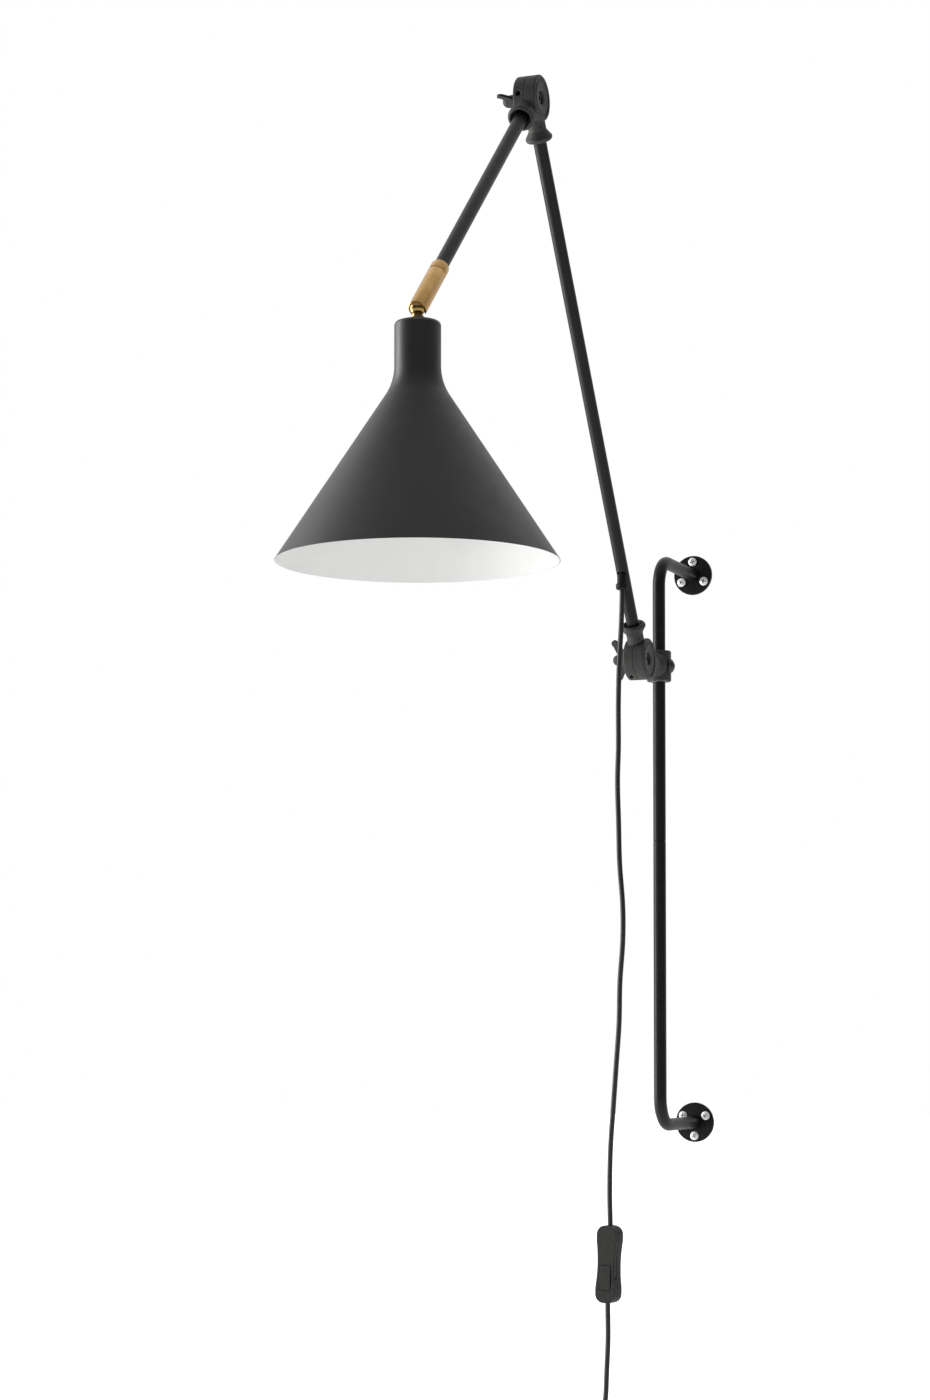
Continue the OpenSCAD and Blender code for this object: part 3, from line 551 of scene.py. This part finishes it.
# ---- Turned and pressed pieces with their edges broken ----
for node, width in (
    ("upper_wall_flange", 0.5),
    ("lower_wall_flange", 0.5),
    ("base_pivot_bolt", 0.4),
    ("base_nut_washer", 0.25),
    ("elbow_pivot_bolt", 0.4),
    ("elbow_nut_washer", 0.25),
    ("rail_collar", 0.7),
    ("clamp_screw", 0.4),
    ("cord_grommet", 0.25),
    ("swivel_ring", 0.35),
    ("swivel_cup", 0.35),
    ("top_nut", 0.3),
    ("stem_washer", 0.2),
):
    stands_for(bevelled("edged_" + node, node, width), node)


# ---- Wall screws: domed heads with a cross recess, threaded shanks ----
SCREW_HEAD_R = 4.5
SCREW_ROOT_R = 1.55
SCREW_POINT = 4.0
THREAD_PITCH = 1.4
THREAD_HEIGHT = 0.38
THREAD_END = -0.6
THREAD_STEPS = 18
CROSS_W = 1.3
CROSS_HALF_LEN = 2.9
CROSS_TAPER = 0.7
CROSS_FLOOR = 2.2
PLACES = 3


def wedge_box(name, half_x, half_y, low, high, taper, at, turn):
    """A box along -Y over a wall point, narrower towards the wall by taper, turned about Y."""
    points = []
    for h, k in ((low, taper), (high, 1.0)):
        for sx, sz in ((-1, -1), (1, -1), (1, 1), (-1, 1)):
            x, z = sx * half_x * k, sz * half_y * k
            c, d = math.cos(turn), math.sin(turn)
            points.append(Vector((x * c - z * d, -h, x * d + z * c)) * MM + at)
    faces = [(0, 1, 2, 3), (7, 6, 5, 4), (0, 4, 5, 1), (1, 5, 6, 2), (2, 6, 7, 3), (3, 7, 4, 0)]
    obj = from_lists(name, points, faces, smooth=False)
    face_outwards(obj)
    return obj


def wall_screw(at, turn, head_low, head_high, tip):
    """One screw whose head stands on the flange, along -Y; heights are millimetres from the wall."""
    rise = head_high - head_low
    shank = [(0, tip), (0.3, tip + 0.1), (SCREW_ROOT_R, tip + SCREW_POINT), (SCREW_ROOT_R, head_low)]
    dome = [(SCREW_HEAD_R - 0.15 * k * k, head_low + rise * (0.3 + 0.12 * k)) for k in range(5)]
    profile = shank + [(SCREW_HEAD_R, head_low)] + dome + [(0, head_high)]
    screw = spun("screw", profile, at, (0, -1, 0), sides=48)
    over = head_high + 1
    for quarter in (0, math.pi / 2):
        half = (CROSS_W / 2, CROSS_HALF_LEN)
        boolean_cut(screw, wedge_box("cross", *half, CROSS_FLOOR, over, CROSS_TAPER, at, turn + quarter))
    smooth_by_angle(screw, 35)
    start = tip + 1
    turns = (THREAD_END - start) / THREAD_PITCH
    helix, radii = [], []
    for i in range(int(turns * THREAD_STEPS) + 1):
        h = start + THREAD_PITCH * i / THREAD_STEPS
        narrowing = min(1, (h - tip) / SCREW_POINT)
        r = SCREW_ROOT_R * narrowing
        angle = 2 * math.pi * i / THREAD_STEPS
        helix.append(at + Vector((r * math.cos(angle), -h, r * math.sin(angle))) * MM)
        radii.append(THREAD_HEIGHT * MM * narrowing)
    return joined("screw", [screw, swept("thread", helix, 0, 6, radii)])


for node, first, turns in (("upper_wall_screws", 0, (20, 75, 50)), ("lower_wall_screws", 180, (40, 10, 65))):
    low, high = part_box(node)
    flange_low, flange_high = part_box(node.replace("screws", "flange"))
    flange_at = Vector((0, 0, (flange_low[2] + flange_high[2]) / 2))
    spread = (high[0] - low[0]) / 2 - SCREW_HEAD_R * MM
    pitch_r = spread / math.sin(math.radians(360 / PLACES))
    screws = []
    for k, turn in enumerate(turns):
        angle = math.radians(first + 360 / PLACES * k)
        at = flange_at + Vector((math.sin(angle), 0, math.cos(angle))) * pitch_r
        screws.append(wall_screw(at, math.radians(turn), -flange_low[1] / MM, -low[1] / MM, -high[1] / MM))
    stands_for(joined("threaded_" + node, screws), node)


# ---- Shade ----
def arc_points(cx, cz, r, start, end, count):
    """Points on an arc round (cx, cz), from one angle to the other in degrees."""
    angles = [math.radians(start + (end - start) * k / count) for k in range(count + 1)]
    return [(cx + r * math.cos(angle), cz + r * math.sin(angle)) for angle in angles]


SHADE_LO, SHADE_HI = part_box("shade")
RIM_R = (SHADE_HI[0] - SHADE_LO[0]) / 2 / MM
SHADE_TOP = (BALL.z - SHADE_HI[2]) / MM
SHADE_H = (SHADE_HI[2] - SHADE_LO[2]) / MM
CONE_ANGLE = 33.5
NECK_R = 19.25
NECK_H = 37.8
FLARE_R = 45.0
SHOULDER_R = 4.0
CROWN = 1.0
SHADE_T = 1.0
HOLE_R = 4.2
SHADE_SIDES = 160
RIM_ROUND = 0.15


def shade_line(inset):
    """From the crown's hole to the rim, as (radius, depth below the ball) in millimetres."""
    line = [(HOLE_R, SHADE_TOP + inset), (8.0, SHADE_TOP + inset)]
    line += arc_points(NECK_R - SHOULDER_R, SHADE_TOP + CROWN + SHOULDER_R, SHOULDER_R - inset, -80, 0, 10)
    line += [(NECK_R - inset, SHADE_TOP + NECK_H * f) for f in (0.25, 0.4, 0.6, 0.8)]
    line += arc_points(NECK_R + FLARE_R, SHADE_TOP + NECK_H, FLARE_R + inset, 180, 180 - CONE_ANGLE, 16)
    end = (RIM_R - inset / math.cos(math.radians(CONE_ANGLE)), SHADE_TOP + SHADE_H)
    start = line[-1]
    for f in (0.25, 0.5, 0.75, 0.985, 1):
        line.append((start[0] + (end[0] - start[0]) * f, start[1] + (end[1] - start[1]) * f))
    return line


outer = shade_line(0)
inner = shade_line(SHADE_T)
edge = [((outer[-1][0] + inner[-1][0]) / 2, outer[-1][1])]
outer[-1] = (outer[-1][0] - RIM_ROUND, outer[-1][1] - RIM_ROUND)
shade = spun("shade_shell", outer + edge + inner[::-1], BALL, (0, 0, -1), sides=SHADE_SIDES, closed=True)
paint(shade, SHADE_OUT, SHADE_IN)
for i, face in enumerate(shade.data.polygons):
    face.material_index = 1 if i // SHADE_SIDES >= len(outer) else 0
finished(shade, "shade", "shade_coat", "shade")
smooth_by_angle(shade, 50)

# ---- Light and floor ----
VIEW_DIR = (-math.sin(math.radians(CAMERA_TURN)), math.cos(math.radians(CAMERA_TURN)), 0)
WORLD_FRONT = 0.05
WORLD_BACK = 0.8
WORLD_TOP = 0.5
FLOOR_GLOW = 0.27
FLOOR_HALF = 30
# The floor stays below the lead when the collar is at the lower end of the rail.
SLIDE_DOWN = -min(JOINTS["rail_slide"]["range_m"])
FLOOR_Z = CAD_BOX[0][2] - 0.004 - SLIDE_DOWN


def studio_world():
    """Bright behind and above the lamp, dark in front of it; plain white to the eye."""
    world = bpy.data.worlds.new("studio")
    bpy.context.scene.world = world
    world.use_nodes = True
    tree = world.node_tree
    tree.nodes.clear()
    out = tree.nodes.new("ShaderNodeOutputWorld")
    coords = tree.nodes.new("ShaderNodeTexCoord").outputs["Generated"]

    def towards(direction, low, high, start, end):
        dot = tree.nodes.new("ShaderNodeVectorMath")
        dot.operation = "DOT_PRODUCT"
        dot.inputs[1].default_value = direction
        tree.links.new(coords, dot.inputs[0])
        ramp = tree.nodes.new("ShaderNodeMapRange")
        ramp.interpolation_type = "SMOOTHSTEP"
        for name, value in (("From Min", start), ("From Max", end), ("To Min", low), ("To Max", high)):
            ramp.inputs[name].default_value = value
        tree.links.new(dot.outputs["Value"], ramp.inputs["Value"])
        return ramp.outputs["Result"]

    total = tree.nodes.new("ShaderNodeMath")
    total.operation = "ADD"
    tree.links.new(towards(VIEW_DIR, WORLD_FRONT, WORLD_BACK, -0.1, 0.7), total.inputs[0])
    tree.links.new(towards((0, 0, 1), 0, WORLD_TOP, 0.35, 0.9), total.inputs[1])
    lit = tree.nodes.new("ShaderNodeBackground")
    tree.links.new(total.outputs[0], lit.inputs["Strength"])
    plain = tree.nodes.new("ShaderNodeBackground")
    plain.inputs["Strength"].default_value = 1.0
    plain.inputs["Color"].default_value = (1, 1, 1, 1)
    lit.inputs["Color"].default_value = (1, 1, 1, 1)
    mix = tree.nodes.new("ShaderNodeMixShader")
    tree.links.new(tree.nodes.new("ShaderNodeLightPath").outputs["Is Camera Ray"], mix.inputs["Fac"])
    tree.links.new(lit.outputs[0], mix.inputs[1])
    tree.links.new(plain.outputs[0], mix.inputs[2])
    tree.links.new(mix.outputs[0], out.inputs["Surface"])


studio_world()


def softbox(name, at, target, width, height, radiance):
    """A rectangular light of this radiance, turned towards the target."""
    light = bpy.data.lights.new(name, "AREA")
    light.shape = "RECTANGLE"
    light.size = width
    light.size_y = height
    light.energy = radiance * math.pi * width * height
    obj = new_object(name, light)
    obj.location = at
    obj.rotation_euler = (Vector(target) - Vector(at)).to_track_quat("-Z", "Y").to_euler()


MIDDLE = Vector((0, -0.4, -0.2))
softbox("key", (-2.3, -0.9, 0.1), MIDDLE, 1.0, 2.6, 9.0)

floor_corners = [(x * FLOOR_HALF, y * FLOOR_HALF, FLOOR_Z) for x, y in ((-1, -1), (1, -1), (1, 1), (-1, 1))]
floor = from_lists("floor", floor_corners, [(0, 1, 2, 3)], smooth=False)
floor_mat, floor_tree, floor_bsdf, floor_at = shader("pale_floor")
floor_clouds = mapped(floor_tree, noise(floor_tree, floor_at, 1.5), 0, 1)
floor_tone = blended(floor_tree, floor_clouds, (0.9, 0.9, 0.9), (0.93, 0.93, 0.93))
floor_tree.links.new(floor_tone, floor_bsdf.inputs["Base Color"])
floor_bsdf.inputs["Roughness"].default_value = 0.9
floor_bsdf.inputs["Specular IOR Level"].default_value = 0.1
floor_bsdf.inputs["Emission Color"].default_value = (1, 1, 1, 1)
# The floor is white to the eye and dimmer as a light on the lamp
to_the_eye = floor_tree.nodes.new("ShaderNodeLightPath").outputs["Is Camera Ray"]
floor_glow = mapped(floor_tree, to_the_eye, FLOOR_GLOW, 1.0, 0, 1)
floor_tree.links.new(floor_glow, floor_bsdf.inputs["Emission Strength"])
paint(floor, floor_mat)
bpy.context.scene.view_settings.view_transform = "Standard"
